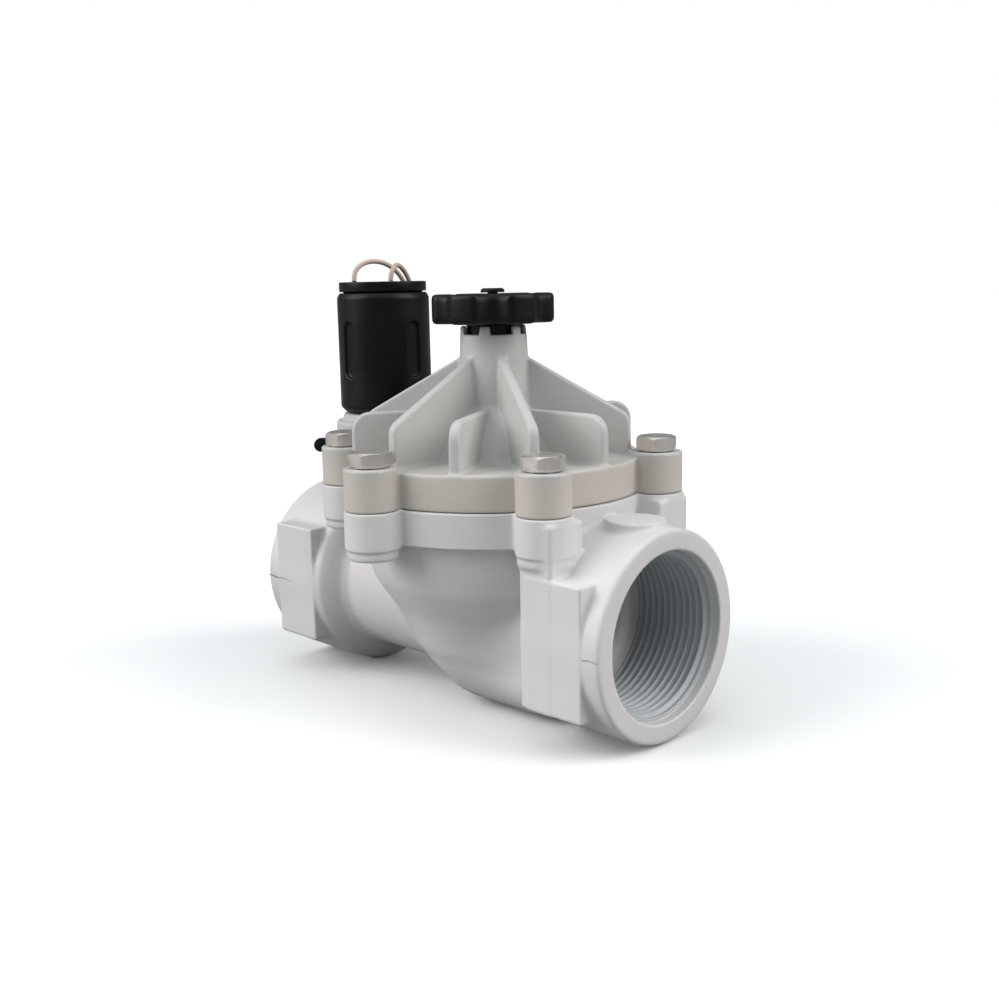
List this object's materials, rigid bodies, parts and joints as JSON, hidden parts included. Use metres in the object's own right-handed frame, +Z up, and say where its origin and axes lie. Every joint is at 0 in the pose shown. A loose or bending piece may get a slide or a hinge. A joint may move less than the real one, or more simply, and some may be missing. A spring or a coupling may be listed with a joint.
{
  "type": "zone valve",
  "caption": "Globe-pattern plastic diaphragm zone valve with female-threaded ports, ribbed bolted bonnet, flow-control handle and upright solenoid with two leads.",
  "frame": {"origin": "on the surface that the valve stands on, under the middle of the flow axis between the two port faces", "axes": "+X along the flow axis towards the outlet, +Z up along the bonnet and handle axis, +Y to the left of the flow"},
  "size_m": [0.1488, 0.1152, 0.1376],
  "materials": {
    "body_plastic": "satin",
    "bonnet_plastic": "satin",
    "black_plastic": "satin",
    "white_plastic": "satin",
    "rubber": "matte",
    "stainless": "satin",
    "black_screw": "satin",
    "brass": "satin",
    "copper": "satin",
    "lead_insulation": "satin"
  },
  "bodies": {
    "valve_body": {"valve_body": "body_plastic", "bonnet": "bonnet_plastic", "diaphragm": "rubber", "solenoid_o_ring": "rubber", "main_spring": "stainless", "plunger_spring": "stainless", "spindle_clip": "stainless", "solenoid_pole": "stainless", "solenoid_yoke": "stainless", "solenoid_core_tube": "brass", "pilot_nozzle": "brass", "solenoid_coil": "copper", "solenoid_housing": "black_plastic", "solenoid_cap": "black_plastic", "lead_1": "lead_insulation", "lead_2": "lead_insulation", "lead_coil": "lead_insulation", "bolt_1": "stainless", "bolt_2": "stainless", "bolt_3": "stainless", "bolt_4": "stainless", "bolt_5": "stainless", "bolt_6": "stainless", "threaded_insert_1": "brass", "threaded_insert_2": "brass", "threaded_insert_3": "brass", "threaded_insert_4": "brass", "threaded_insert_5": "brass", "threaded_insert_6": "brass"},
    "diaphragm_carrier": {"diaphragm_plate": "white_plastic", "seat_washer": "rubber", "diaphragm_guide": "white_plastic", "diaphragm_screw": "stainless"},
    "flow_control": {"flow_control_handle": "black_plastic", "handle_screw": "black_screw", "flow_control_spindle": "brass", "spindle_o_ring": "rubber"},
    "flow_control_stop": {"flow_control_stop": "white_plastic"},
    "plunger": {"solenoid_plunger": "stainless", "plunger_seal": "rubber"},
    "bleed_screw": {"bleed_screw": "black_plastic"}
  },
  "joints": [
    {"name": "diaphragm_lift", "type": "slide", "parent": "valve_body", "child": "diaphragm_carrier", "axis": [0, 0, 1], "range_m": [0, 0.008], "stiffness_N_per_m": 400, "springref_m": -0.01, "deforming": ["diaphragm", "main_spring"]},
    {"name": "flow_control_turn", "type": "hinge", "parent": "valve_body", "child": "flow_control", "pos_m": [0.0077, 0, 0.1202], "axis": [0, 0, 1], "range_deg": [-720, 0]},
    {"name": "stop_slide", "type": "slide", "parent": "valve_body", "child": "flow_control_stop", "axis": [0, 0, 1], "range_m": [-0.006, 0]},
    {"name": "plunger_lift", "type": "slide", "parent": "valve_body", "child": "plunger", "axis": [0, 0, 1], "range_m": [0, 0.002], "stiffness_N_per_m": 200, "springref_m": -0.003, "deforming": ["plunger_spring"]},
    {"name": "bleed_turn", "type": "hinge", "parent": "valve_body", "child": "bleed_screw", "pos_m": [-0.044, 0, 0.076], "axis": [-0.7071, -0.7071, 0], "range_deg": [0, 360]}
  ],
  "couplings": [
    {"joint": "flow_control_turn", "follows": "stop_slide", "rad_per_m": 2094.4}
  ]
}
